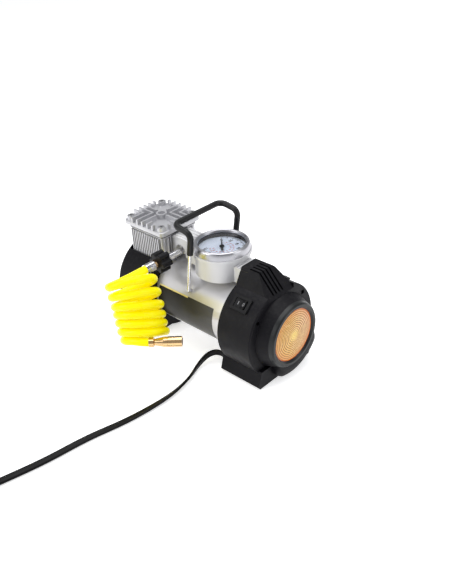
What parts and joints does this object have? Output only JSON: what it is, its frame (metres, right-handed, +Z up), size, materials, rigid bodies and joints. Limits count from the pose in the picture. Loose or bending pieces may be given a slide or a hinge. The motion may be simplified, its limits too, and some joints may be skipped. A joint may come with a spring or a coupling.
{
  "type": "portable tire inflator",
  "caption": "Corded car tyre inflator: motor drum with finned pump head, top pressure gauge, wire handle, work lamp, coiled yellow air hose with brass chuck.",
  "frame": {"origin": "on the ground under the middle of the machine, hose and cord left out", "axes": "+X along the motor towards the lamp, +Z up, -Y on the side of the air outlet"},
  "size_m": [0.2344, 0.453, 0.1509],
  "materials": {
    "silver_paint": "satin silver paint",
    "ferrite": "matt sintered magnet",
    "plated_steel": "zinc plated",
    "phenolic": "brown moulded phenolic",
    "carbon": "pressed carbon",
    "laminations": "varnished laminations",
    "copper": "enamelled copper",
    "ground_steel": "ground",
    "black_nylon": "moulded",
    "cast_alloy": "bright die casting",
    "seal_ptfe": "filled PTFE",
    "gasket": "matt",
    "silver_casting": "satin silver paint on die casting",
    "chrome": "polished",
    "clear": "clear",
    "dial_white": "printed enamel",
    "needle_black": "black paint",
    "brass": "turned",
    "yellow_hose": "glossy polyurethane",
    "black_plastic": "finely textured",
    "lens_amber": "ribbed amber lens",
    "reflector": "vacuum metallised",
    "black_rubber": "soft sleeve",
    "black_pvc": "PVC insulation"
  },
  "bodies": {
    "machine": {"motor_can": "silver_paint", "field_magnets": "ferrite", "front_end_bell": "plated_steel", "brush_holder": "phenolic", "carbon_brushes": "carbon", "crankcase": "cast_alloy", "rear_bearing": "ground_steel", "cylinder_block": "cast_alloy", "valve_plate": "cast_alloy", "head_gasket": "gasket", "reed_valves": "ground_steel", "cylinder_head": "cast_alloy", "head_screws": "plated_steel", "gauge_bridge": "silver_casting", "gauge_bezel": "chrome", "gauge_lens": "clear", "gauge_dial": "dial_white", "bourdon_tube": "brass", "outlet_pipe": "chrome", "hose_nipple": "brass", "hose_ferrule": "chrome", "air_hose_lead": "yellow_hose", "air_hose_coil": "yellow_hose", "air_hose_tail": "yellow_hose", "tail_ferrule": "brass", "chuck_body": "brass", "chuck_seal": "gasket", "rear_cover": "black_plastic", "front_housing": "black_plastic", "housing_screws": "plated_steel", "lamp_bezel": "black_plastic", "lamp_lens": "lens_amber", "lamp_reflector": "reflector", "bulb_holder": "black_nylon", "lamp_bulb": "clear", "power_switch_frame": "black_nylon", "lamp_switch_frame": "black_nylon", "strain_relief": "black_rubber", "power_cord": "black_pvc", "power_cord_coil": "black_pvc", "plug_body": "black_nylon", "plug_contacts": "plated_steel", "foot_pads": "black_rubber"},
    "armature": {"armature_core": "laminations", "armature_windings": "copper", "commutator": "copper", "motor_shaft": "ground_steel", "cooling_fan": "black_nylon", "crank_disc": "ground_steel"},
    "piston": {"piston_rod": "cast_alloy", "piston_seal": "seal_ptfe", "crank_pin_bearing": "ground_steel"},
    "needle": {"gauge_needle": "needle_black"},
    "power_switch": {"power_rocker": "black_nylon"},
    "lamp_switch": {"lamp_rocker": "black_nylon"},
    "nut": {"union_nut": "black_nylon"},
    "chuck": {"chuck_sleeve": "brass"},
    "handle": {"handle_wire": "chrome", "handle_grip": "black_rubber"},
    "tip": {"plug_tip": "chrome"}
  },
  "joints": [
    {"name": "armature_spin", "type": "hinge", "parent": "machine", "child": "armature", "pos_m": [0, 0, 0.051], "axis": [1, 0, 0], "continuous": true},
    {"name": "piston_stroke", "type": "slide", "parent": "machine", "child": "piston", "axis": [0, 0, -1], "range_m": [0, 0.014]},
    {"name": "needle_turn", "type": "hinge", "parent": "machine", "child": "needle", "pos_m": [0.013, 0, 0.118], "axis": [0, 0, -1], "range_deg": [0, 270], "stiffness_Nm_per_rad": 0.0001},
    {"name": "power_rocker_tilt", "type": "hinge", "parent": "machine", "child": "power_switch", "pos_m": [0.067, -0.03018, 0.08572], "axis": [0, 0.7547, 0.6561], "range_deg": [0, 12]},
    {"name": "lamp_rocker_tilt", "type": "hinge", "parent": "machine", "child": "lamp_switch", "pos_m": [0.07, 0.02385, 0.09069], "axis": [0, 0.8572, -0.515], "range_deg": [0, 12]},
    {"name": "union_nut_turn", "type": "hinge", "parent": "machine", "child": "nut", "pos_m": [-0.037, -0.04, 0.1025], "axis": [0, 1, 0], "continuous": true},
    {"name": "chuck_sleeve_turn", "type": "hinge", "parent": "machine", "child": "chuck", "pos_m": [0.01665, -0.07777, 0.04644], "axis": [0.7556, 0.6548, 0.0168], "continuous": true},
    {"name": "handle_swing", "type": "hinge", "parent": "machine", "child": "handle", "pos_m": [-0.006, 0, 0.074], "axis": [0, 1, 0], "range_deg": [-20, 45]},
    {"name": "plug_tip_press", "type": "slide", "parent": "machine", "child": "tip", "axis": [0, 1, 0], "range_m": [0, 0.002], "stiffness_N_per_m": 400}
  ]
}
